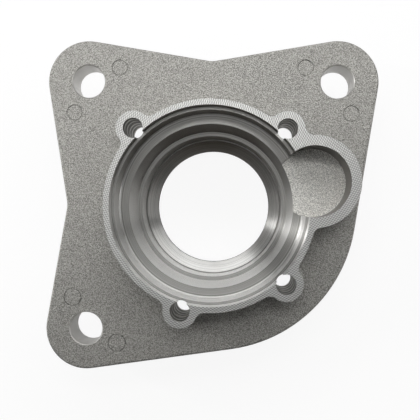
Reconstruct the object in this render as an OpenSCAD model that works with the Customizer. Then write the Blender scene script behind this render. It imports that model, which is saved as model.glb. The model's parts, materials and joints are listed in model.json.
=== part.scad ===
// Starter motor end housing: one die-cast aluminium piece.
// +Z points up to the machined ring face. The origin is on the bore axis, at the
// height of the mounting face under the flange.

/* [Flange] */
// Thickness of the flange plate
flange_t = 12; // [9:0.5:16]
// Diameter of the circle through the three bolt holes
bolt_circle_d = 120; // [116:0.5:130]
// Diameter of the bolt holes
bolt_hole_d = 11; // [8.4:0.1:13]
// Width of the chamfer at the mouth of a bolt hole
bolt_hole_chamfer = 0.4; // [0.2:0.1:1]
// Radius of the flange round each bolt hole
corner_r = 14; // [11:0.5:16]
// Distance of the two notches from the bore axis
notch_reach = 49.5; // [46:0.1:54]
// Radius at the bottom of the two notches
notch_r = 8; // [1:0.5:16]
// Radius of the round side of the flange, about the bore axis
lobe_r = 49.4; // [46:0.1:54]

/* [Ring] */
// Height of the ring above the flange
ring_h = 12; // [9:0.5:18]
// Outer diameter of the ring
ring_d = 69.4; // [68:0.1:74]

/* [Lugs] */
// Diameter of the circle through the four screw holes
lug_circle_d = 71; // [70:0.2:76]
// Directions of the four screw lugs, anticlockwise from +X
lug_angles = [45, 135, 255, 315];
// Radius of a screw lug
lug_r = 5.6; // [5:0.1:8]
// Diameter of the screw holes
screw_hole_d = 6.2; // [4.5:0.1:6.4]
// Diameter of the wider entry of a screw hole
screw_entry_d = 6.6; // [6.5:0.1:7.2]
// Depth of the wider entry of a screw hole
screw_entry_depth = 10; // [4:0.5:18]
// Width of the chamfer at the mouth of a screw hole
screw_hole_chamfer = 0.1; // [0.1:0.1:0.8]
// Radius of the hollow corners between the lugs and the ring
lug_fillet_r = 3; // [1:0.5:5]

/* [Side pocket] */
// Distance of the pocket's centre from the bore axis
pocket_offset = 35; // [33:0.5:38]
// Direction of the pocket, anticlockwise from +X
pocket_angle = 13.5; // [5:0.5:20]
// Diameter of the pocket
pocket_d = 23.3; // [18:0.1:25]
// Thickness of the wall round the pocket
pocket_wall = 3.3; // [2:0.1:5]
// Depth of the pocket below the ring face
pocket_depth = 12.3; // [6:0.1:16]
// Radius of the hollow corners between the pocket boss and the ring
boss_fillet_r = 3; // [1:0.5:5]

/* [Stepped bore] */
// Diameter of the shallow recess at the ring face
recess_d = 65.2; // [64:0.2:66]
// Depth of the shallow recess
recess_depth = 3; // [1:0.5:5]
// Diameter of the register under the recess
register_d = 63; // [60:0.1:63.8]
// Depth of the register's shoulder below the ring face
register_depth = 12; // [8:0.5:16]
// Width of the register's shoulder
shoulder_w = 3.5; // [2:0.1:4.5]
// Width of the chamfer at the inner edge of the shoulder
shoulder_chamfer = 0.8; // [0.2:0.1:1]
// Height of the tapered wall under the shoulder
taper_h = 10.5; // [6:0.5:13]
// How far the tapered wall runs in towards the axis
taper_in = 1.4; // [0.5:0.1:1.4]
// Diameter of the seat
seat_d = 50; // [48:0.1:51]
// Height of the seat
seat_h = 10; // [6:0.5:11]
// Width of the flat step at the bottom of the seat
seat_step = 0.5; // [0.3:0.1:1]
// Diameter of the through hole
through_d = 41.4; // [36:0.1:44]
// Drop of the conical face between the seat and the through hole
cone_drop = 3; // [1:0.5:4]

/* [Pilot] */
// Diameter of the pilot under the flange
pilot_d = 62; // [60:0.5:66]
// Length of the through hole below the conical face
through_h = 1.8; // [1:0.1:6]
// Width of the chamfer round the end of the pilot
pilot_chamfer = 1; // [0.5:0.1:1.4]

/* [Ejector marks] */
// Diameter of the round marks that the ejector pins left
mark_d = 5.6; // [4:0.1:7]
// Depth of the sunk marks
mark_depth = 0.3; // [0.2:0.05:0.6]
// Height of the raised marks
mark_rise = 0.2; // [0.1:0.05:0.5]
// Distance of a mark from its bolt hole, across the flange
mark_across = 10.7; // [10:0.1:12]
// Distance of a mark from its bolt hole, outwards
mark_out = 4.8; // [3:0.1:6]

/* [Hidden] */
$fn = 96;
// Overrun of the cutters, and overlap of what is joined
eps = 0.5;
// How far rounded corners dip into what they run out on, so that the edges cross
bite = 0.002;

// Heights above the mounting face
flange_top = flange_t;
face_z = flange_t + ring_h;
recess_z = face_z - recess_depth;
register_z = face_z - register_depth;
taper_z = register_z - taper_h;
seat_z = taper_z - seat_h;
cone_z = seat_z - cone_drop;
pilot_z = cone_z - through_h;
pocket_z = face_z - pocket_depth;
screw_entry_z = face_z - screw_entry_depth;

// Radii of the stepped bore
recess_r = recess_d / 2;
register_r = register_d / 2;
shoulder_r = register_r - shoulder_w;
taper_r = shoulder_r - taper_in;
seat_r = seat_d / 2;
through_r = through_d / 2;

// Places in plan
hole_xy = bolt_circle_d / 2 * cos(45);
bolt_holes = [[-hole_xy, hole_xy], [hole_xy, hole_xy], [-hole_xy, -hole_xy]];
axis = [0, 0];
notches = [[0, notch_reach], [-notch_reach, 0]];
pocket_centre = pocket_offset * unit(pocket_angle);
boss_r = pocket_d / 2 + pocket_wall;
ring_r = ring_d / 2;
sunk_marks = [bolt_holes[0] + [mark_across, mark_out], bolt_holes[0] + [-mark_out, -mark_across],
              bolt_holes[1] + [mark_out, -mark_across], bolt_holes[1] + [-mark_across, mark_out]];
raised_marks = [bolt_holes[2] + [-mark_out, mark_across], bolt_holes[2] + [mark_across, -mark_out]];

// Direction from point a to point b, in degrees
function direction(a, b) = atan2(b[1] - a[1], b[0] - a[0]);

// Unit vector in a direction
function unit(angle) = [cos(angle), sin(angle)];

// Point where the line from p runs out on the circle at c: side is 1 left of the way
// from c to p, and -1 right of it
function touch(p, c, r, side) =
    c + (r - bite) * unit(direction(c, p) + side * acos((r - bite) / norm(p - c)));

// Direction, from both centres, to the outer line along two circles
function outer_line(c1, r1, c2, r2, side) =
    direction(c1, c2) + side * acos((r1 - r2) / norm(c2 - c1));

// Centre of the circle of radius r that lies against two circles from outside
function hollow_centre(c1, r1, c2, r2, r, side) =
    let (a = r1 + r - bite, b = r2 + r - bite, d = norm(c2 - c1))
    c1 + a * unit(direction(c1, c2) + side * acos((a * a + d * d - b * b) / (2 * a * d)));

// Fills the corner between two circles with a hollow of radius r
module hollow_corner(c1, r1, c2, r2, r, side) {
    f = hollow_centre(c1, r1, c2, r2, r, side);
    difference() {
        polygon(side > 0 ? [c1, c2, f] : [c2, c1, f]);
        translate(f) circle(r = r);
    }
}

// Fills the inner corner at p with a hollow of radius r. The lines run to a on the
// right and to b on the left, looking out of the corner
module line_corner(p, a, b, r) {
    to_a = unit(direction(p, a));
    to_b = unit(direction(p, b));
    out = unit(direction([0, 0], to_a + to_b));
    half = acos(out * to_a);
    f = p + (r - bite) / sin(half) * out;
    run = (r - bite) / tan(half);
    foot_a = p + run * to_a;
    foot_b = p + run * to_b;
    difference() {
        polygon([p - r * out, f + 2 * (foot_a - f), f, f + 2 * (foot_b - f)]);
        translate(f) circle(r = r);
    }
}

// Outline of the flange plate
module flange_outline() {
    ul = bolt_holes[0];
    ur = bolt_holes[1];
    ll = bolt_holes[2];
    right = unit(outer_line(ur, corner_r, axis, lobe_r, 1));
    bottom = unit(outer_line(axis, lobe_r, ll, corner_r, 1));
    top_left = touch(notches[0], ul, corner_r, 1);
    top_right = touch(notches[0], ur, corner_r, -1);
    left_low = touch(notches[1], ll, corner_r, 1);
    left_high = touch(notches[1], ul, corner_r, -1);
    polygon([left_high, notches[1], left_low,
             ll + (corner_r - bite) * bottom, (lobe_r - bite) * bottom,
             (lobe_r - bite) * right, ur + (corner_r - bite) * right,
             top_right, notches[0], top_left]);
    for (c = bolt_holes) translate(c) circle(r = corner_r);
    intersection() {
        circle(r = lobe_r);
        translate([0, -2 * lobe_r]) square(2 * lobe_r);
    }
    line_corner(notches[0], top_right, top_left, notch_r);
    line_corner(notches[1], left_high, left_low, notch_r);
}

// Outline of the raised ring with its screw lugs and pocket boss
module ring_outline() {
    lugs = [for (a = lug_angles) lug_circle_d / 2 * unit(a)];
    circle(r = ring_r);
    translate(pocket_centre) circle(r = boss_r);
    for (side = [-1, 1]) hollow_corner(axis, ring_r, pocket_centre, boss_r, boss_fillet_r, side);
    for (c = lugs) {
        translate(c) circle(r = lug_r);
        for (side = [-1, 1]) hollow_corner(axis, ring_r, c, lug_r, lug_fillet_r, side);
    }
    hollow_corner(pocket_centre, boss_r, lugs[0], lug_r, lug_fillet_r, -1);
}

// Turned stepped bore, cut from the ring face down through the pilot
module stepped_bore() {
    rotate_extrude($fn = 180)
        polygon([[0, face_z + eps], [recess_r, face_z + eps],
                 [recess_r, recess_z], [register_r, recess_z],
                 [register_r, register_z], [shoulder_r + shoulder_chamfer, register_z],
                 [shoulder_r, register_z - shoulder_chamfer], [taper_r, taper_z],
                 [seat_r, taper_z], [seat_r, seat_z],
                 [seat_r - seat_step, seat_z], [through_r, cone_z],
                 [through_r, pilot_z - eps], [0, pilot_z - eps]]);
}

// Cutter for a hole with a chamfer at its mouth, from z0 up to z1
module hole(r, z0, z1, chamfer) {
    translate([0, 0, z0 - eps]) cylinder(r = r, h = z1 - z0 + 2 * eps);
    translate([0, 0, z1 - chamfer])
        cylinder(r1 = r, r2 = r + chamfer + eps, h = chamfer + eps);
}

// Machined pilot that centres the housing in its mating bore
module pilot() {
    rotate_extrude($fn = 180)
        polygon([[0, pilot_z], [pilot_d / 2 - pilot_chamfer, pilot_z],
                 [pilot_d / 2, pilot_z + pilot_chamfer], [pilot_d / 2, eps], [0, eps]]);
}

module end_housing() {
    color([0.66, 0.66, 0.64])
    difference() {
        union() {
            linear_extrude(height = flange_t) flange_outline();
            translate([0, 0, flange_t - eps])
                linear_extrude(height = ring_h + eps) ring_outline();
            pilot();
            for (m = raised_marks)
                translate([m[0], m[1], flange_top - eps])
                    cylinder(d = mark_d, h = mark_rise + eps);
        }
        stepped_bore();
        translate([pocket_centre[0], pocket_centre[1], pocket_z])
            cylinder(d = pocket_d, h = pocket_depth + eps);
        for (c = bolt_holes)
            translate([c[0], c[1], 0]) hole(bolt_hole_d / 2, 0, flange_top, bolt_hole_chamfer);
        for (a = lug_angles)
            rotate([0, 0, a]) translate([lug_circle_d / 2, 0, 0]) {
                hole(screw_hole_d / 2, 0, face_z, screw_hole_chamfer);
                hole(screw_entry_d / 2, screw_entry_z + eps, face_z, screw_hole_chamfer);
            }
        for (m = sunk_marks)
            translate([m[0], m[1], flange_top - mark_depth])
                cylinder(d = mark_d, h = mark_depth + eps);
    }
}

end_housing();
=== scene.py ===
# %% [markdown]
# # Starter motor end housing
# This is one die-cast aluminium piece: a three-cornered flange, a raised ring with four
# screw lugs and a side pocket, a stepped bore turned through the middle, and a pilot
# underneath. The casting keeps a blasted, grainy skin, and what a machine has cut since
# is smoother and shines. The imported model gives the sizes, and this script gives the part
# its real edges and finishes.

import json
import math

import bmesh
import bpy
from mathutils import Matrix, Vector


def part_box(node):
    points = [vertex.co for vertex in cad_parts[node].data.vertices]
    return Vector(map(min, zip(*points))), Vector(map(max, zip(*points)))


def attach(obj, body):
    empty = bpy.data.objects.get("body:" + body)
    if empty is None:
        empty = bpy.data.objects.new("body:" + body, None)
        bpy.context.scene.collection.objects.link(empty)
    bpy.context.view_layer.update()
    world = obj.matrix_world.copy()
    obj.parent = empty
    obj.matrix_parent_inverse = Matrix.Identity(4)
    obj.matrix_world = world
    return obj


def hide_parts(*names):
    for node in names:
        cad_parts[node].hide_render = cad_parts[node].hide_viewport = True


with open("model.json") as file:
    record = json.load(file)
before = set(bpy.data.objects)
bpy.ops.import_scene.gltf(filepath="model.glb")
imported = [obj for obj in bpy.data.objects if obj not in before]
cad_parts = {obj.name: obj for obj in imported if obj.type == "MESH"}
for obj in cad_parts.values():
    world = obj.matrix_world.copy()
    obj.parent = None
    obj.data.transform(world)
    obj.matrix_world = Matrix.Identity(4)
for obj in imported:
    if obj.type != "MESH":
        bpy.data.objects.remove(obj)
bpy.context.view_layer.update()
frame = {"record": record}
box_low, box_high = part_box("end_housing")
mm = 0.001
print("CAD box in mm:", [round(value / mm, 2) for value in (*box_low, *box_high)])

# %% [markdown]
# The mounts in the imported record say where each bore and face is. Reading the sizes from
# them keeps this part true to the model when a size changes there. Only what no mount
# holds, such as the roundings of a cast edge, gets a value of its own.

# %% Read the sizes
mounts = {mount["name"]: mount for mount in frame["record"]["mounts"]}


def place(name):
    """Centre of a mount, in metres."""
    return Vector(mounts[name]["pos_m"])


def radius(name):
    """Radius of a mount, in metres."""
    return mounts[name]["dims"]["r_mm"] * mm


def length(name):
    """Length of a mount along its axis, in metres."""
    return mounts[name]["dims"]["length_mm"] * mm


flange_holes = [place("flange_hole_" + side) for side in ("upper_right", "upper_left", "lower_left")]
lug_holes = [place("lug_hole_" + side) for side in ("upper_right", "upper_left", "lower", "lower_right")]
# The mount of a flange hole lies halfway up the flange, and its corner reaches the box's side
flange_top = 2 * flange_holes[0].z
face_height = place("ring_face").z
pilot_end = box_low.z
corner_radius = box_high.x - flange_holes[0].x
print("in mm: flange top", round(flange_top / mm, 2), "ring face", round(face_height / mm, 2),
      "corner radius", round(corner_radius / mm, 2))

# %% [markdown]
# All of the part is one metal. Its finishes differ only in what was done to the metal last,
# and in the light and shade that is painted into some of them. They are made before the
# shapes, because a Boolean carries the finish of its tool into the cut, and so a hole gets its
# finish from the cutter that makes it, as on a real machine. A few short helpers keep each
# finish down to the lines that matter, where each node by itself would take three or four.

# %% Short ways to build a finish
def new_finish(name, colour, roughness):
    """A metal material and its shader."""
    finish = bpy.data.materials.new(name)
    finish.use_nodes = True
    shader = finish.node_tree.nodes["Principled BSDF"]
    shader.inputs["Base Color"].default_value = (*colour, 1)
    shader.inputs["Metallic"].default_value = 1
    shader.inputs["Roughness"].default_value = roughness
    return finish, shader


def add(finish, kind, inputs=None, **settings):
    """A node with its settings. Each input, by name or number, is a value or the socket to join to it."""
    node = finish.node_tree.nodes.new("ShaderNode" + kind)
    for name, value in settings.items():
        setattr(node, name, value)
    for name, value in (inputs or {}).items():
        if isinstance(value, bpy.types.NodeSocket):
            finish.node_tree.links.new(value, node.inputs[name])
        else:
            node.inputs[name].default_value = value
    return node


def paint(finish, shader, tint):
    """Gives the shader its colour from a pattern."""
    finish.node_tree.links.new(tint, shader.inputs["Base Color"])


print("materials of the packed model:", [material.name for material in bpy.data.materials])

# %% [markdown]
# Most finishes need the same three things: a noise, a colour that follows a pattern, and
# bumps. The patterns read Object coordinates, which stay with the piece in every view and
# need no unwrapping. Those are in metres, so the scale of a pattern is one over its size
# in metres.

# %% Patterns for a finish
def object_place(finish):
    """Socket with the place on the piece, in metres."""
    return add(finish, "TexCoord").outputs["Object"]


def noise(finish, size, detail):
    """Soft noise whose lumps are about one size across. A higher detail lays finer noise over it."""
    settings = {"Vector": object_place(finish), "Scale": 1 / size, "Detail": detail}
    return add(finish, "TexNoise", settings).outputs["Fac"]


def ramp(finish, source, stops):
    """Turns a value into a colour by stops of (position, colour)."""
    node = add(finish, "ValToRGB", {"Fac": source})
    marks = node.color_ramp.elements
    while len(marks) < len(stops):
        marks.new(0.5)
    for mark, (position, colour) in zip(marks, stops):
        mark.position = position
        mark.color = (*colour, 1)
    return node.outputs["Color"]


def bumps(finish, shader, height, depth, strength):
    """Lets a height pattern tilt the light on the surface."""
    node = add(finish, "Bump", {"Height": height, "Distance": depth, "Strength": strength})
    finish.node_tree.links.new(node.outputs["Normal"], shader.inputs["Normal"])


print("a pattern 1 mm across has scale", round(1 / mm))

# %% [markdown]
# A die casting that has been shot-blasted is covered in overlapping dents of a few tenths
# of a millimetre. Each dent has a bright and a dark side, so the skin looks like fine grey
# sand. Noise with finer noise over it makes the dents, and the same noise darkens their
# bottoms. A flat grey with only a rough shader would look like plastic, and dents in the
# mesh itself would take millions of faces. The floor of the pocket has the same skin, but
# painted lighter: that is painted light, against the shade that the deep walls of the pocket
# cast on it.

# %% Cast skin
dent_size = 0.31 * mm
dent_depth = 0.17 * mm


def make_cast_skin(name, dark, light):
    """A blasted skin whose dents go from a dark to a light grey."""
    skin, shader = new_finish(name, light, 0.6)
    dents = noise(skin, dent_size, 3)
    paint(skin, shader, ramp(skin, dents, [(0.33, dark), (0.64, light)]))
    bumps(skin, shader, dents, dent_depth, 1)
    return skin


cast_skin = make_cast_skin("cast_skin", (0.17, 0.166, 0.153), (0.54, 0.532, 0.503))
# Painted light: the pocket floor's skin is lighter to make up for the shade of the pocket's walls.
pocket_skin = make_cast_skin("pocket_skin", (0.34, 0.335, 0.315), (0.95, 0.94, 0.9))
print("made", cast_skin.name, "and", pocket_skin.name, "with dents of", round(dent_size / mm, 2), "mm")

# %% [markdown]
# The walls of the pocket and of the bolt holes were formed by steel cores in the die, and
# the blasting hardly reached them, so they are smoother than the skin. The wall of the
# pocket is painted darker than the skin, as painted shade, and the bolt holes are clean and
# light. One even shine would look like a new steel tube, so long, low waves break it up.

# %% Cored walls
wave_size = 1.2 * mm
wave_depth = 0.03 * mm


def make_cored_wall(name, colour, roughness):
    """A smooth cast wall with long, low waves."""
    wall, shader = new_finish(name, colour, roughness)
    bumps(wall, shader, noise(wall, wave_size, 3), wave_depth, 0.5)
    return wall


# Painted shade: the pocket's wall is coloured dark for the shade that it stands in.
cored_wall = make_cored_wall("cored_wall", (0.19, 0.18, 0.166), 0.42)
bolt_wall = make_cored_wall("bolt_wall", (0.66, 0.65, 0.63), 0.5)
print("made", cored_wall.name, "and", bolt_wall.name)

# %% [markdown]
# The ring face was cut by a milling head. Each tooth leaves an arc, and the teeth cross
# their own arcs on the way back, so the face shows two sets of fine curved lines. Two wave
# textures, each of rings round a far centre, give the lines their real pitch and bend.
# Lines cut into the mesh would look the same from here and cost far more faces.

# %% Milled face
mill_pitch = 0.68 * mm
mill_depth = 0.04 * mm
# The rings of a wave texture of scale 1 are this far apart, in metres
ring_spacing = math.tau / 20


def mill_marks(finish, centre):
    """Height of the rings that a cutter leaves round its centre."""
    away = tuple(-value for value in centre)
    moved = add(finish, "Mapping", {"Vector": object_place(finish), "Location": away}).outputs["Vector"]
    rings = {"Vector": moved, "Scale": ring_spacing / mill_pitch, "Distortion": 0.6, "Detail": 1}
    return add(finish, "TexWave", rings, wave_type="RINGS", rings_direction="Z").outputs["Fac"]


def make_milled_face(dark, light):
    """A milled metal with crossing arcs, from a dark to a light grey."""
    face, shader = new_finish("milled_face", (0.6, 0.6, 0.58), 0.45)
    ahead = mill_marks(face, (0.06, 0.045, 0))
    behind = mill_marks(face, (-0.05, 0.06, 0))
    both = add(face, "Math", {0: ahead, 1: behind}).outputs["Value"]
    share = add(face, "Math", {0: both, 1: 0.5}, operation="MULTIPLY").outputs["Value"]
    paint(face, shader, ramp(face, share, [(0.25, dark), (0.75, light)]))
    bumps(face, shader, share, mill_depth, 1)
    return face


milled_face = make_milled_face((0.33, 0.33, 0.317), (0.67, 0.67, 0.655))
print("made", milled_face.name, "with lines every", round(mill_pitch / mm, 2), "mm")

# %% [markdown]
# The pilot and the underside were turned on a lathe. The tool leaves one fine groove that
# runs round and round, so light is drawn out across the grooves. Noise on one axis, which
# is the way along the profile, makes lines that close round the part, and the anisotropic
# shader spreads the shine across them. The shader has to know which way the grooves run,
# and a radial tangent about Z tells it. A plain shine, the same in every direction, would
# look polished instead.

# %% Turned metal
groove_pitch = 0.35 * mm
groove_depth = 0.04 * mm


def make_turned(name, valley, crest, painted_shade=None):
    """A turned metal with grooves from a dark valley to a light crest, and a tint of painted shade over it,
    if any.
    """
    metal, shader = new_finish(name, crest, 0.37)
    shader.inputs["Anisotropic"].default_value = 1
    shader.inputs["Anisotropic Rotation"].default_value = 0.25
    tangent = add(metal, "Tangent", direction_type="RADIAL", axis="Z").outputs["Tangent"]
    metal.node_tree.links.new(tangent, shader.inputs["Tangent"])
    here = object_place(metal)
    level = add(metal, "VectorMath", {0: here, 1: (1, 1, 0)}, operation="MULTIPLY").outputs["Vector"]
    out = add(metal, "VectorMath", {0: level}, operation="LENGTH").outputs["Value"]
    height = add(metal, "SeparateXYZ", {"Vector": here}).outputs["Z"]
    along = add(metal, "Math", {0: out, 1: height}).outputs["Value"]
    lines = {"W": along, "Scale": 1 / groove_pitch, "Detail": 3}
    grooves = add(metal, "TexNoise", lines, noise_dimensions="1D").outputs["Fac"]
    tint = ramp(metal, grooves, [(0.3, valley), (0.65, crest)])
    # A tint of painted shade, where one is given, multiplies the colour of the grooves.
    if painted_shade:
        tint = add(metal, "VectorMath", {0: tint, 1: painted_shade(metal)}, operation="MULTIPLY").outputs["Vector"]
    paint(metal, shader, tint)
    bumps(metal, shader, grooves, groove_depth, 0.7)
    return metal


turned = make_turned("turned", (0.36, 0.357, 0.343), (0.68, 0.676, 0.66))
print("made", turned.name, "with grooves of", round(groove_pitch / mm, 2), "mm")

# %% [markdown]
# The bore was turned too. Its metal is brighter than the pilot's, as painted light, and a
# tint of painted shade over it makes its walls darker and browner towards the back and its
# ledges dull all round, most in front. The tint depends on where the metal stands and on
# how steep it is. A painted map could hold that shade, but it would need an image.

# %% Painted shade in the bore
# The normal's Z at which a ledge begins to count as a wall, and at which it is one
ledge_tilt = 0.98
wall_tilt = 0.85
shade_front = -20 * mm
shade_back = 24 * mm


def painted_bore_shade(finish):
    """Painted shade: on walls from clear in front to dark at the back, on ledges a dull grey, darker in
    front.
    """
    normal = add(finish, "TexCoord").outputs["Normal"]
    tilt = add(finish, "SeparateXYZ", {"Vector": normal}).outputs["Z"]
    steepness = {"Value": tilt, "From Min": ledge_tilt, "From Max": wall_tilt}
    wall = add(finish, "MapRange", steepness).outputs[0]
    depth = add(finish, "SeparateXYZ", {"Vector": object_place(finish)}).outputs["Y"]
    distance = {"Value": depth, "From Min": shade_front, "From Max": shade_back}
    back = add(finish, "MapRange", distance).outputs[0]
    # Painted shade: walls dark and brown towards the back, ledges dull, most in front.
    on_ledges = ramp(finish, back, [(0, (0.39, 0.39, 0.383)), (1, (0.72, 0.717, 0.7))])
    on_walls = ramp(finish, back, [(0, (1, 1, 1)), (1, (0.118, 0.107, 0.093))])
    return add(finish, "MixRGB", {"Fac": wall, "Color1": on_ledges, "Color2": on_walls}).outputs["Color"]


# Painted light: the bore's metal is brighter than the pilot's, for its bright front walls.
turned_bore = make_turned("turned_bore", (0.48, 0.477, 0.46), (0.86, 0.855, 0.84), painted_bore_shade)
print("made", turned_bore.name)

# %% [markdown]
# The wall of the through hole, at the bottom of the bore, is a thin line of painted shade.
# So its finish is no metal: it is dark and rough, with only a weak shine. A darker tint on
# the metal would still flash under the lamps.

# %% Painted shade on the lip of the through hole
# Painted shade: the lip's wall gets a dark, dull finish.
oily_lip, lip_shader = new_finish("oily_lip", (0.05, 0.048, 0.044), 0.7)
lip_shader.inputs["Metallic"].default_value = 0
lip_shader.inputs["Specular IOR Level"].default_value = 0.2
print("made", oily_lip.name)

# %% [markdown]
# The four screw holes in the lugs were drilled, and the drill left a ridge at every peck.
# The metal is painted dark in bands that follow the ridges down the hole, as painted shade,
# and bright on each ridge, as a painted highlight. The band is worked out from the depth
# below the ring face, with the same pitch that the real ridges get below.

# %% Drilled holes
ridge_pitch = 4.8 * mm


def make_drilled(dark, bright):
    """A drilled metal, with painted shade in the grooves and a painted highlight on the ridges between them.
    """
    metal, shader = new_finish("drilled", (0.6, 0.59, 0.57), 0.38)
    height = add(metal, "SeparateXYZ", {"Vector": object_place(metal)}).outputs["Z"]
    depth = add(metal, "Math", {0: face_height, 1: height}, operation="SUBTRACT").outputs[0]
    pecks = add(metal, "Math", {0: depth, 1: ridge_pitch}, operation="DIVIDE").outputs[0]
    peck = add(metal, "Math", {0: pecks}, operation="FRACT").outputs[0]
    # Painted shade in the dark bands, a painted highlight in the bright band.
    stops = [(0, dark), (0.5, dark), (0.66, bright), (0.9, bright), (1, dark)]
    paint(metal, shader, ramp(metal, peck, stops))
    return metal


drilled = make_drilled((0.33, 0.32, 0.3), (0.95, 0.94, 0.92))
print("made", drilled.name, "with a ridge every", round(ridge_pitch / mm, 2), "mm")

# %% [markdown]
# The corners of the flange go round the three bolt holes, a large round corner reaches
# past the lower right of the bore, and two shallow notches sit between the corners. The
# outline is a row of arcs with straight lines between them, as a draughtsman draws it. An
# arc that bulges has a positive radius here, and a hollow one a negative radius. Then one
# rule gives every tangent point, because the line that touches both arcs has the same
# direction from both centres.

# %% Outline of the flange
notch_reach = 49.5 * mm
notch_radius = 8 * mm
lobe_radius = 49.4 * mm


def unit(angle):
    """Direction in plan, from +X anticlockwise."""
    return Vector((math.cos(angle), math.sin(angle), 0))


def flat(point):
    """The point moved to height 0."""
    return Vector((point.x, point.y, 0))


def leaving_angle(here, there):
    """Direction from both centres to where the line from one round to the next touches them."""
    way = there[0] - here[0]
    # Rounds that touch have a share of 1, and a rounding error mustn't take it further
    share = max(-1.0, min(1.0, (here[1] - there[1]) / way.length))
    return math.atan2(way.y, way.x) - math.acos(share)


def arcs_of(rounds):
    """Each round as (centre, first point, sweep), in the order they are drawn."""
    arcs = []
    for number, (centre, bulge) in enumerate(rounds):
        start = leaving_angle(rounds[number - 1], rounds[number])
        end = leaving_angle(rounds[number], rounds[(number + 1) % len(rounds)])
        sweep = (end - start) % math.tau if bulge > 0 else -((start - end) % math.tau)
        arcs.append((centre, centre + bulge * unit(start), sweep))
    return arcs


upper_right, upper_left, lower_left = [flat(point) for point in flange_holes]
# The straight edges beside a notch would meet at its reach, and its arc rounds that corner
to_corner = upper_left - Vector((0, notch_reach, 0))
edge_rise = math.asin(corner_radius / to_corner.length) - math.atan2(-to_corner.y, -to_corner.x)
notch_out = notch_reach + notch_radius / math.cos(edge_rise)
flange_rounds = [
    (upper_right, corner_radius),
    (Vector((0, notch_out, 0)), -notch_radius),
    (upper_left, corner_radius),
    (Vector((-notch_out, 0, 0)), -notch_radius),
    (lower_left, corner_radius),
    (Vector((0, 0, 0)), lobe_radius),
]
print("arcs of the flange in degrees:", [round(math.degrees(sweep)) for *_, sweep in arcs_of(flange_rounds)])

# %% [markdown]
# An outline is drawn as by hand: one vertex is put down, spun round the centre of each
# arc, and pulled out along each straight line. A small plane merged to its middle gives
# that first vertex, because Blender has no primitive of a single vertex. A curve object
# could draw the outline too, but its arcs are only nearly round.

# %% Draw an outline in edit mode
arc_step = math.radians(3)
tiny = 0.0005 * mm
# With no window, spin turns clockwise round its axis, so the axis points down
spin_axis = (0, 0, -1)


def first_vertex(name, point):
    """A new piece with one vertex, which is left selected in edit mode."""
    bpy.ops.object.select_all(action="DESELECT")
    bpy.ops.mesh.primitive_plane_add(size=mm)
    piece = bpy.context.object
    piece.name = name
    bpy.ops.object.mode_set(mode="EDIT")
    bpy.ops.mesh.select_mode(type="VERT")
    bpy.ops.mesh.merge(type="CENTER")
    bpy.ops.transform.translate(value=point)
    return piece


def pull_to(here, there):
    """Draws a straight line from the selected vertex to the next point."""
    if (there - here).length > tiny:
        bpy.ops.mesh.extrude_region_move(TRANSFORM_OT_translate={"value": there - here})
    return there


def merge_doubles():
    """Makes one vertex of those that lie on each other, and leaves all selected."""
    bpy.ops.mesh.select_all(action="SELECT")
    bpy.ops.mesh.remove_doubles(threshold=tiny)
    bpy.ops.mesh.select_all(action="SELECT")


def draw_outline(name, rounds, height):
    """A flat face inside the outline, at a height, left selected in edit mode."""
    up = Vector((0, 0, height))
    arcs = arcs_of(rounds)
    first = arcs[0][1] + up
    piece = first_vertex(name, first)
    here = first
    for centre, start, sweep in arcs:
        pull_to(here, start + up)
        steps = max(2, round(abs(sweep) / arc_step))
        bpy.ops.mesh.spin(steps=steps, angle=sweep, center=centre + up, axis=spin_axis)
        here = centre + up + Matrix.Rotation(sweep, 3, "Z") @ (start - centre)
    pull_to(here, first)
    merge_doubles()
    bpy.ops.mesh.edge_face_add()
    return piece


housing = draw_outline("end_housing_casting", flange_rounds, 0)
print("the outline of the flange has", len(bmesh.from_edit_mesh(housing.data).verts), "points")

# %% [markdown]
# The flange is a plate 12 mm thick, so its outline is pulled up by that much. A die-cast
# edge is never sharp, so the rim gets a small rounding: at this size, that thin band of
# shade is what makes it look cast. By hand the rim would be picked with the mouse, and
# here a test on the height of each edge does it, which holds when the outline changes.

# %% Thicken the flange plate
cast_edge = 0.7 * mm
round_steps = 4


def pick(piece, kind, test):
    """In edit mode, selects the faces or edges that pass a test, and tells how many."""
    bpy.ops.mesh.select_all(action="DESELECT")
    bpy.ops.mesh.select_mode(type="FACE" if kind == "faces" else "EDGE")
    mesh = bmesh.from_edit_mesh(piece.data)
    picked = [part for part in getattr(mesh, kind) if test(part)]
    for part in picked:
        part.select_set(True)
    mesh.select_flush_mode()
    bmesh.update_edit_mesh(piece.data)
    return len(picked)


def at_height(edge, height):
    """Whether an edge lies level at a height."""
    return all(abs(vertex.co.z - height) < tiny for vertex in edge.verts)


def face_outwards():
    """Turns every face of the piece outwards, and leaves all selected."""
    bpy.ops.mesh.select_all(action="SELECT")
    bpy.ops.mesh.normals_make_consistent(inside=False)


bpy.ops.mesh.extrude_region_move(TRANSFORM_OT_translate={"value": (0, 0, flange_top)})
face_outwards()
rim = pick(housing, "edges", lambda edge: at_height(edge, 0) or at_height(edge, flange_top))
bpy.ops.mesh.bevel(offset=cast_edge, segments=round_steps, affect="EDGES")
bpy.ops.object.mode_set(mode="OBJECT")
housing.data.materials.append(cast_skin)
print("the flange has", rim, "rim edges, size in mm", [round(side / mm, 2) for side in housing.dimensions])

# %% [markdown]
# The ring's outline runs round the four screw lugs and the wide boss of the side pocket,
# with a hollow corner on each side of a lug. Such a corner lies against two rounds, so its
# centre is one hollow radius away from each of them. That makes a triangle whose three
# sides are known, and its angle gives the centre without any trial.

# %% Outline of the ring
ring_radius = 34.7 * mm
lug_radius = 5.6 * mm
hollow_radius = 3 * mm
pocket_offset = 35 * mm
pocket_angle = math.radians(13.5)
pocket_radius = 11.65 * mm
pocket_wall = 3.3 * mm


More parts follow.
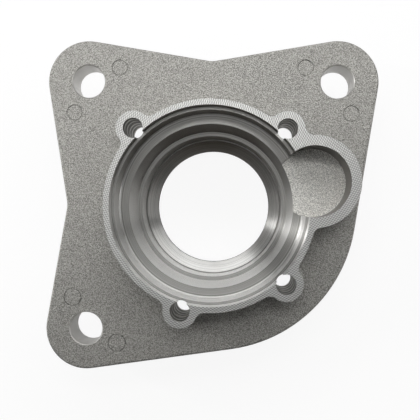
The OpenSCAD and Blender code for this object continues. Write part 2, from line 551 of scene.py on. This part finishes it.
def hollow_between(first, second, side):
    """The hollow corner that lies against two rounds. Side 1 is left of the way between them."""
    near = first[1] + hollow_radius
    far = second[1] + hollow_radius
    way = second[0] - first[0]
    turn = math.acos((near * near + way.length_squared - far * far) / (2 * near * way.length))
    return first[0] + near * unit(math.atan2(way.y, way.x) + side * turn), -hollow_radius


pocket_centre = pocket_offset * unit(pocket_angle)
ring = (Vector((0, 0, 0)), ring_radius)
boss = (pocket_centre, pocket_radius + pocket_wall)
lugs = [(flat(point), lug_radius) for point in lug_holes]
ring_rounds = []
for lug in lugs:
    if ring_rounds:
        ring_rounds += [ring, hollow_between(ring, lug, -1)]
    ring_rounds += [lug, hollow_between(ring, lug, 1)]
ring_rounds += [ring, hollow_between(ring, boss, -1), boss, hollow_between(boss, lugs[0], -1)]
print("the outline of the ring has", len(ring_rounds), "arcs")

# %% [markdown]
# The ring stands 12 mm above the flange. The die has to let go of the casting, so its
# walls lean out a little towards the foot. The face is drawn at the top, its edges are
# pulled down into the flange, and the open foot is widened before it is closed. The whole
# foot could be scaled up instead, but then the walls would lean more on one side than on
# another.

# %% Raise the ring
draft = 0.25 * mm
overlap = 0.6 * mm
foot_height = flange_top - overlap

ring_block = draw_outline("ring_block", ring_rounds, face_height)
bpy.ops.mesh.select_mode(type="EDGE")
bpy.ops.mesh.select_all(action="SELECT")
bpy.ops.mesh.extrude_edges_move(TRANSFORM_OT_translate={"value": (0, 0, foot_height - face_height)})
face_outwards()
foot = pick(ring_block, "edges", lambda edge: at_height(edge, foot_height))
bpy.ops.transform.shrink_fatten(value=draft, use_even_offset=True)
bpy.ops.mesh.edge_face_add()
face_outwards()
bpy.ops.object.mode_set(mode="OBJECT")
ring_block.data.materials.append(cast_skin)
ring_size = [round(side / mm, 2) for side in ring_block.dimensions]
print("the ring has", foot, "foot edges, size in mm", ring_size)

# %% [markdown]
# The two bodies become one casting with an exact Boolean, as if the metal had filled
# both halves of the die. The edge where the ring meets the flange is then hollow and
# gets a fillet, which is the soft shadow round the foot of the ring in the photograph.
# Two blocks that were only pushed into each other would show a hard line there.

# %% Join the ring to the flange
foot_fillet = 1.2 * mm
steep = 0.2
nearly_level = 0.99


def only(piece):
    """Selects one piece, and nothing else."""
    bpy.ops.object.select_all(action="DESELECT")
    piece.select_set(True)
    bpy.context.view_layer.objects.active = piece


def boolean(piece, tool, operation):
    """Joins or cuts with another piece, keeps the finishes of both, and deletes the tool."""
    only(piece)
    bpy.ops.object.modifier_add(type="BOOLEAN")
    change = piece.modifiers[-1]
    change.operation = operation
    change.object = tool
    change.solver = "EXACT"
    change.material_mode = "TRANSFER"
    bpy.ops.object.modifier_apply(modifier=change.name)
    bpy.data.objects.remove(tool)
    print(piece.name, operation.lower(), "->", len(piece.data.polygons), "faces")


def is_foot(edge):
    """Whether an edge lies where the ring's wall meets the top of the flange."""
    tilts = sorted(abs(face.normal.z) for face in edge.link_faces)
    return at_height(edge, flange_top) and tilts[0] < steep and tilts[-1] > nearly_level


boolean(housing, ring_block, "UNION")
bpy.ops.object.mode_set(mode="EDIT")
count = pick(housing, "edges", is_foot)
bpy.ops.mesh.bevel(offset=foot_fillet, segments=round_steps, affect="EDGES")
bpy.ops.object.mode_set(mode="OBJECT")
print("filleted", count, "foot edges")

# %% [markdown]
# All round bodies of this part are drawn the same way, as on a lathe: half of the section,
# from the axis out and back to the axis, is spun a full turn about the axis. A cylinder
# would need a cut for each step of a bore, while a section holds them all. The corners of
# a cutter's section can get a small vertex bevel first: no machined corner is perfectly
# sharp, and the bevels catch the thin lines of light that run round the bore in the
# photograph.

# %% Draw a round body
# How far a tool reaches past the metal that it cuts or joins
over = 1 * mm
bore_steps = 192
corner_steps = 2


def round_corners(section, corner):
    """Bevels the corners of a section that have room for it on both sides."""
    mesh = bmesh.from_edit_mesh(section.data)
    for vertex in mesh.verts:
        room = all(edge.calc_length() > 2 * corner for edge in vertex.link_edges)
        vertex.select_set(vertex.co.x > tiny and len(vertex.link_edges) == 2 and room)
    bmesh.update_edit_mesh(section.data)
    bpy.ops.mesh.bevel(offset=corner, segments=corner_steps, affect="VERTICES")


def round_body(name, section, finish, steps, corner=0.0):
    """A body spun about the Z axis from (radius, height) points that start and end on the axis."""
    points = [Vector((out, 0, height)) for out, height in section]
    body = first_vertex(name, points[0])
    here = points[0]
    for point in points[1:]:
        here = pull_to(here, point)
    if corner:
        round_corners(body, corner)
    bpy.ops.mesh.select_all(action="SELECT")
    bpy.ops.mesh.spin(steps=steps, angle=math.tau, center=(0, 0, 0), axis=spin_axis)
    merge_doubles()
    bpy.ops.mesh.normals_make_consistent(inside=False)
    bpy.ops.object.mode_set(mode="OBJECT")
    body.data.materials.append(finish)
    print(name, "has", len(body.data.polygons), "faces")
    return body


print("each flat side of the bore spans", 360 / bore_steps, "degrees")

# %% [markdown]
# The pilot is the short round spigot under the flange that centres the housing in its
# mate. The part stands on its end. Only the edge at that end is chamfered, which leads it
# into its bore, so its section is short enough to be written out with no bevel.

# %% Add the pilot
pilot_radius = radius("pilot")
pilot_chamfer = 1 * mm

pilot = round_body("pilot", [
    (0, pilot_end),
    (pilot_radius - pilot_chamfer, pilot_end),
    (pilot_radius, pilot_end + pilot_chamfer),
    (pilot_radius, over),
    (0, over),
], turned, bore_steps)
boolean(housing, pilot, "UNION")

# %% [markdown]
# The stepped bore takes a bearing in its seat and the motor's body in the register. From
# the ring face down its steps are the recess, the register, a shoulder, a taper, the seat,
# a cone, and the through hole at the bottom. The mounts hold the radius and the length of
# each bore. The heights follow from one another from the ring face down, apart from the
# end of the cone, which lies above the pilot's end by the length of the through hole.

# %% Steps of the bore
recess = radius("recess_bore")
register = radius("register_bore")
seat = radius("seat_bore")
through = radius("through_bore")
recess_floor = face_height - length("recess_bore")
shoulder = recess_floor - length("register_bore")
shoulder_width = 3.5 * mm
taper_height = 10.5 * mm
taper_in = 1.4 * mm
shoulder_radius = register - shoulder_width
seat_top = shoulder - taper_height
seat_floor = seat_top - length("seat_bore")
seat_step = 0.5 * mm
cone_end = pilot_end + length("through_bore")
step_heights = (recess_floor, shoulder, seat_top, seat_floor, cone_end)
print("heights of the steps in mm:", [round(height / mm, 2) for height in step_heights])

# %% [markdown]
# On the lathe the bore is cut in one setting, so that all its steps have one axis, and
# here it is one turned tool as well. The corner at the foot of the register is hollow,
# because the tip of a turning tool is round, and that hollow catches a thin bright line. A
# narrow relief groove runs round the foot of the bearing seat, so that a bearing can go
# right home, and shows as a dark line.

# %% Turn the stepped bore
tool_corner = 0.2 * mm
bore_chamfer = 0.2 * mm
relief = 0.7 * mm
nose = 0.6 * mm


def hollow_foot(wall, floor_height):
    """Points of the rounded corner that the tool's nose leaves between a wall and a floor."""
    turns = [math.radians(angle) for angle in (0, 22.5, 45, 67.5, 90)]
    return [(wall - nose + nose * math.cos(turn), floor_height + nose - nose * math.sin(turn))
            for turn in turns]


bore = round_body("bore_tool", [
    (0, face_height + over),
    (recess + over + bore_chamfer, face_height + over),
    (recess, face_height - bore_chamfer),
    (recess, recess_floor),
    (register, recess_floor),
    *hollow_foot(register, shoulder),
    (shoulder_radius, shoulder),
    (shoulder_radius - taper_in, seat_top),
    (seat, seat_top),
    (seat, seat_floor - relief),
    (seat - seat_step, seat_floor - relief),
    (seat - seat_step, seat_floor),
    (through, cone_end),
    (through, pilot_end - over),
    (0, pilot_end - over),
], turned_bore, bore_steps, tool_corner)
boolean(housing, bore, "DIFFERENCE")

# %% [markdown]
# The side pocket probably leaves room for a gear or a cap beside the main bore. A round core
# in the die formed it, so its floor keeps the grainy skin, while the wall is smooth where
# the core slid out. The floor's corner gets a small rounding, as the core had. A cylinder
# that cuts into the bore also opens the pocket to it, as on the real piece.

# %% Sink the side pocket
pocket_sides = 120
pocket_floor = 11.7 * mm
pocket_depth = face_height - pocket_floor + over
core_edge = 0.15 * mm
# The normal's Z below which a face of the core formed the floor
floor_tilt = -0.9

bpy.ops.object.select_all(action="DESELECT")
bpy.ops.mesh.primitive_cylinder_add(
    vertices=pocket_sides, radius=pocket_radius, depth=pocket_depth,
    location=pocket_centre + Vector((0, 0, pocket_floor + pocket_depth / 2)))
core = bpy.context.object
bpy.ops.object.transform_apply(location=True)
bpy.ops.object.mode_set(mode="EDIT")
pick(core, "edges", lambda edge: at_height(edge, pocket_floor))
bpy.ops.mesh.bevel(offset=core_edge, segments=corner_steps, affect="EDGES")
bpy.ops.object.mode_set(mode="OBJECT")
core.data.materials.append(cored_wall)
core.data.materials.append(pocket_skin)
for face in core.data.polygons:
    face.material_index = 1 if face.normal.z < floor_tilt else 0
boolean(housing, core, "DIFFERENCE")
print("pocket floor at", round(pocket_floor / mm, 2), "mm")

# %% [markdown]
# Three bolts hold the housing to the engine, through the holes in the corners of the
# flange. They are cored holes with a small chamfer at each end. All three are one size,
# so one tool is drawn and copied, and the places come from the mounts.

# %% Bolt holes
bolt_steps = 96
bolt_radius = radius("flange_hole_upper_left")
bolt_chamfer = 0.4 * mm
bolt_mouth = bolt_radius + bolt_chamfer + over


def copies_at(tool, places):
    """Copies a tool to each place, each copy with its own mesh, and joins them all into one."""
    copies = []
    for point in places:
        only(tool)
        bpy.ops.object.duplicate(linked=False)
        bpy.ops.transform.translate(value=flat(point))
        copies.append(bpy.context.object)
    bpy.data.objects.remove(tool)
    for copy in copies:
        copy.select_set(True)
    bpy.ops.object.join()
    joined = bpy.context.object
    bpy.ops.object.transform_apply(location=True)
    return joined


bolt_hole = round_body("bolt_hole_tool", [
    (0, flange_top + over),
    (bolt_mouth, flange_top + over),
    (bolt_radius, flange_top - bolt_chamfer),
    (bolt_radius, bolt_chamfer),
    (bolt_mouth, -over),
    (0, -over),
], bolt_wall, bolt_steps, tool_corner)
boolean(housing, copies_at(bolt_hole, flange_holes), "DIFFERENCE")

# %% [markdown]
# The screws of the cover go into the four lugs. Each hole starts a little wider and goes
# on a little narrower, and rounds of shallow grooves run round both parts, which the
# photograph shows on the walls. They could be a real helix, but at this size closed
# rounds look the same and keep the mesh simple. Some of the holes break into the wall of
# the bore, because the lugs stand so near to it.

# %% Screw holes
small_steps = 64
screw_radius = radius("lug_hole_lower")
entry_radius = 3.25 * mm
entry_floor = length("lug_hole_lower")
ridge = 0.25 * mm
ridge_width = 1.2 * mm
mouth = 0.05 * mm


def ridges(wall, top, bottom):
    """Points of the grooves in the wall of a hole, one pitch apart, from the top down."""
    points = []
    height = top
    while height - ridge_width > bottom:
        points += [(wall, height), (wall + ridge, height - ridge_width / 2), (wall, height - ridge_width)]
        height -= ridge_pitch
    return points


screw_hole = round_body("screw_hole_tool", [
    (0, face_height + over),
    (entry_radius + mouth + over, face_height + over),
    (entry_radius, face_height - mouth),
    *ridges(entry_radius, face_height - over, entry_floor),
    (entry_radius, entry_floor),
    (screw_radius, entry_floor),
    *ridges(screw_radius, entry_floor - over, over),
    (screw_radius, -over),
    (0, -over),
], drilled, small_steps)
boolean(housing, copies_at(screw_hole, lug_holes), "DIFFERENCE")

# %% [markdown]
# The pins that push the casting out of the die leave round marks on the flange. Where a
# pin was too long, its mark is sunk, as at the two upper corners. Each mark has a narrow
# groove round it, which shows as a thin dark circle. A ring painted by a texture would
# have no lit side, so the marks are cut.

# %% Sunk ejector marks
mark_radius = 2.8 * mm
mark_across = 10.7 * mm
mark_out = 4.8 * mm
mark_sunk = 0.15 * mm
groove_width = 0.3 * mm
groove_floor = flange_top - 0.35 * mm
mark_edge = mark_radius - 0.35 * mm

sunk_mark = round_body("sunk_mark_tool", [
    (0, flange_top + over),
    (mark_radius, flange_top + over),
    (mark_radius, groove_floor),
    (mark_radius - groove_width, groove_floor),
    (mark_edge, flange_top - mark_sunk),
    (0, flange_top - mark_sunk),
], cast_skin, small_steps)
sunk_places = [
    upper_left + Vector((mark_across, mark_out, 0)),
    upper_left + Vector((-mark_out, -mark_across, 0)),
    upper_right + Vector((mark_out, -mark_across, 0)),
    upper_right + Vector((-mark_across, mark_out, 0)),
]
boolean(housing, copies_at(sunk_mark, sunk_places), "DIFFERENCE")

# %% [markdown]
# Where a pin was too short, its mark stands up a little, as at the lower left, with a
# groove round it too. One tool can't both cut and add, so a wide shallow hole is cut
# first, and a low round block is then put back into its middle.

# %% Raised ejector marks
mark_raised = 0.2 * mm
raised_groove_floor = flange_top - 0.3 * mm

raised_places = [
    lower_left + Vector((-mark_out, mark_across, 0)),
    lower_left + Vector((mark_across, -mark_out, 0)),
]
raised_groove = round_body("raised_groove_tool", [
    (0, flange_top + over),
    (mark_radius + groove_width, flange_top + over),
    (mark_radius + groove_width, raised_groove_floor),
    (0, raised_groove_floor),
], cast_skin, small_steps)
boolean(housing, copies_at(raised_groove, raised_places), "DIFFERENCE")
raised_mark = round_body("raised_mark", [
    (0, flange_top + mark_raised),
    (mark_radius, flange_top + mark_raised),
    (mark_radius, flange_top - over),
    (0, flange_top - over),
], cast_skin, small_steps)
boolean(housing, copies_at(raised_mark, raised_places), "UNION")

# %% [markdown]
# A cutter gave its finish to the walls that it made, but the top of the ring and the
# underside were never cut here: they are faces of the first blocks. They are found by
# their height and by the way they face, and get the milled and the turned finish. Two
# places in the bore change as well: the wall of the through hole gets its painted shade,
# and the hollow foot of the register gets the turned finish with no painted shade, so that
# its thin line stays bright.

# %% Machined faces
nearly_upright = 0.1
close_by = 0.1 * mm


def machined_finish(face):
    """Name of the finish of a face that gets another one than its tool gave it, or None."""
    height = face.center.z
    out = flat(face.center).length
    if abs(height - face_height) < tiny and face.normal.z > nearly_level:
        return milled_face.name
    if abs(height) < tiny and face.normal.z < -nearly_level:
        return turned.name
    if shoulder < height < shoulder + nose and register - nose < out < register:
        return turned.name
    # The wall of the through hole gets the dark finish that paints its shade.
    if height < cone_end and out < through + close_by and abs(face.normal.z) < nearly_upright:
        return oily_lip.name
    return None


finishes = housing.data.materials
finishes.append(milled_face)
finishes.append(oily_lip)
for face in housing.data.polygons:
    name = machined_finish(face)
    if name:
        face.material_index = finishes.find(name)
for number, finish in enumerate(finishes):
    covered = sum(face.material_index == number for face in housing.data.polygons)
    print(finish.name, "covers", covered, "faces")

# %% [markdown]
# Smooth shading under 32 degrees keeps the true edges sharp and the arcs round. Weighted
# normals then keep the large flat faces flat up to their rounded edges, which would look
# swollen without them. The count of open edges shows that the casting is one closed body.

# %% Shade
smooth_angle = math.radians(32)

only(housing)
bpy.ops.object.shade_smooth_by_angle(angle=smooth_angle)
bpy.ops.object.modifier_add(type="WEIGHTED_NORMAL")
weighted = housing.modifiers[-1]
weighted.keep_sharp = True
weighted.weight = 100
bpy.ops.object.modifier_apply(modifier=weighted.name)
mesh = bmesh.new()
mesh.from_mesh(housing.data)
open_edges = sum(not edge.is_manifold for edge in mesh.edges)
print("open edges", open_edges, "volume in mm3", round(mesh.calc_volume() / mm ** 3))
mesh.free()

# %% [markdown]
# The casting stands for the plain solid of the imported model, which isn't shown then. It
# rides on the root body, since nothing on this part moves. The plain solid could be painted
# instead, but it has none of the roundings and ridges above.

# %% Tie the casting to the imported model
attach(housing, "root")
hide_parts("end_housing")
print(housing.name, "stands for end_housing")

# %% [markdown]
# The photograph was taken from almost straight above, a little to the right, from about
# 24 cm. So near, each wall of the bore on the far side shows more than on the near side.
# The camera is built from its own axes, because looking straight down leaves the usual
# track-to helpers free to turn it any way round.

# %% Camera
stand = Vector((9.6, -1.4, 237.5)) * mm
aim = Vector((-0.22, -1.35, 12)) * mm
roll = math.radians(0.6)

camera_data = bpy.data.cameras.new("camera")
camera_data.sensor_width = 36
camera_data.lens = 56.7
camera_data.clip_start = 10 * mm
camera = bpy.data.objects.new("camera", camera_data)
bpy.context.scene.collection.objects.link(camera)
bpy.context.scene.camera = camera
ahead = (aim - stand).normalized()
right = ahead.cross(Vector((-math.sin(roll), math.cos(roll), 0))).normalized()
turn = Matrix((right, right.cross(ahead), -ahead)).transposed()
camera.matrix_world = Matrix.Translation(stand) @ turn.to_4x4()
print("camera looks down", round(math.degrees(math.asin(-ahead.z)), 1), "degrees")

# %% [markdown]
# The floor is a plain white sheet that turns up far away, so that a low view has no edge
# behind the part. A large plane is enough, with its four edges pulled up: a curved sweep
# would look the same behind so small a part.

# %% Floor
sheet_size = 6
sheet_rise = 1.4

bpy.ops.object.select_all(action="DESELECT")
bpy.ops.mesh.primitive_plane_add(size=sheet_size)
floor = bpy.context.object
floor.name = "floor"
bpy.ops.transform.translate(value=(0, 0, pilot_end))
bpy.ops.object.mode_set(mode="EDIT")
bpy.ops.mesh.select_mode(type="EDGE")
bpy.ops.mesh.select_all(action="SELECT")
bpy.ops.mesh.extrude_edges_move(TRANSFORM_OT_translate={"value": (0, 0, sheet_rise)})
bpy.ops.object.mode_set(mode="OBJECT")
bpy.ops.object.transform_apply(location=True)
print("floor at", round(pilot_end / mm, 2), "mm")

# %% [markdown]
# What the camera sees of the sheet is mostly an even white, with a share that the lamps
# light, and that share keeps the soft shadow of the part. Shiny metal sees the same white
# with a deeper shadow, as the sheet has under the part and inside its bore. For all other
# light the sheet is plain white paper. Stronger lamps could whiten it too, but they would
# bleach the metal with it.

# %% White paper
white_to_camera = 0.9
white_in_metal = 0.12
paper_colour = (0.8, 0.8, 0.8, 1)

paper = bpy.data.materials.new("white_paper")
paper.use_nodes = True
nodes = paper.node_tree.nodes
nodes.remove(nodes["Principled BSDF"])
rays = add(paper, "LightPath").outputs
either = add(paper, "Math", {0: rays["Is Camera Ray"], 1: rays["Is Glossy Ray"]}, operation="MAXIMUM")
seen = add(paper, "Math", {0: either.outputs[0], 1: rays["Is Transmission Ray"]}, operation="MAXIMUM")
whites = {"Value": rays["Is Glossy Ray"], "To Min": white_to_camera, "To Max": white_in_metal}
share = add(paper, "MapRange", whites)
rest = add(paper, "Math", {0: 1.0, 1: share.outputs[0]}, operation="SUBTRACT")
even = add(paper, "Emission", {"Strength": share.outputs[0]})
lit = add(paper, "BsdfDiffuse", {"Color": rest.outputs[0]})
shown = add(paper, "AddShader", {0: even.outputs[0], 1: lit.outputs[0]})
plain = add(paper, "BsdfDiffuse", {"Color": paper_colour})
mixed = add(paper, "MixShader", {0: seen.outputs[0], 1: plain.outputs[0], 2: shown.outputs[0]})
paper.node_tree.links.new(mixed.outputs[0], nodes["Material Output"].inputs["Surface"])
floor.data.materials.append(paper)
print("made", paper.name, "for the", floor.name)

# %% [markdown]
# The lights follow the bright and dark sides in the photograph. The flange is lighter
# towards the top, and the low walls of the bore are bright between two clear ends, so a
# wide window stands behind the top edge. Three panes side by side make it, because the
# walls show one lamp only over as many degrees as it is wide. A narrow strip at the left
# makes the bright wedge in the bore, and panels fill both sides. Three weak lamps above
# light the ledges and the floor of the pocket, and the world adds a low, even light. One
# large lamp overhead would be simpler, but it would light the bore the same all round.

# %% Lights
window_reach = 0.4
window_height = 0.32
pane_width = 0.26
pane_depth = 0.14
world_grey = (0.5, 0.5, 0.5, 1)
world_strength = 0.06


def soft_lamp(name, spot, width, depth, energy):
    """A soft rectangular lamp that faces the part."""
    data = bpy.data.lights.new(name, "AREA")
    data.shape = "RECTANGLE"
    data.size = width
    data.size_y = depth
    data.energy = energy
    lamp = bpy.data.objects.new(name, data)
    lamp.location = spot
    lamp.rotation_euler = (-Vector(spot)).to_track_quat("-Z", "Y").to_euler()
    bpy.context.scene.collection.objects.link(lamp)
    print(name, energy, "W")


panes = [("left_pane", 114, 0.58), ("middle_pane", 77.5, 0.57), ("right_pane", 41, 0.47)]
for name, azimuth, energy in panes:
    spot = window_reach * unit(math.radians(azimuth)) + Vector((0, 0, window_height))
    soft_lamp(name, spot, pane_width, pane_depth, energy)
soft_lamp("left_panel", (-0.45, 0, 0.21), 0.2, 0.2, 0.37)
soft_lamp("right_panel", (0.45, 0, 0.21), 0.2, 0.2, 0.36)
soft_lamp("left_strip", (-0.43, 0.12, 0.22), 0.03, 0.3, 0.78)
soft_lamp("ceiling", (0, 0.125, 0.34), 0.24, 0.06, 0.24)
soft_lamp("overhead", (0, 0, 0.34), 0.12, 0.12, 0.045)
soft_lamp("left_top", (-0.12, 0, 0.33), 0.14, 0.14, 0.05)
world = bpy.data.worlds.new("studio")
bpy.context.scene.world = world
world.use_nodes = True
background = world.node_tree.nodes["Background"]
background.inputs["Color"].default_value = world_grey
background.inputs["Strength"].default_value = world_strength
bpy.context.scene.view_settings.view_transform = "Standard"
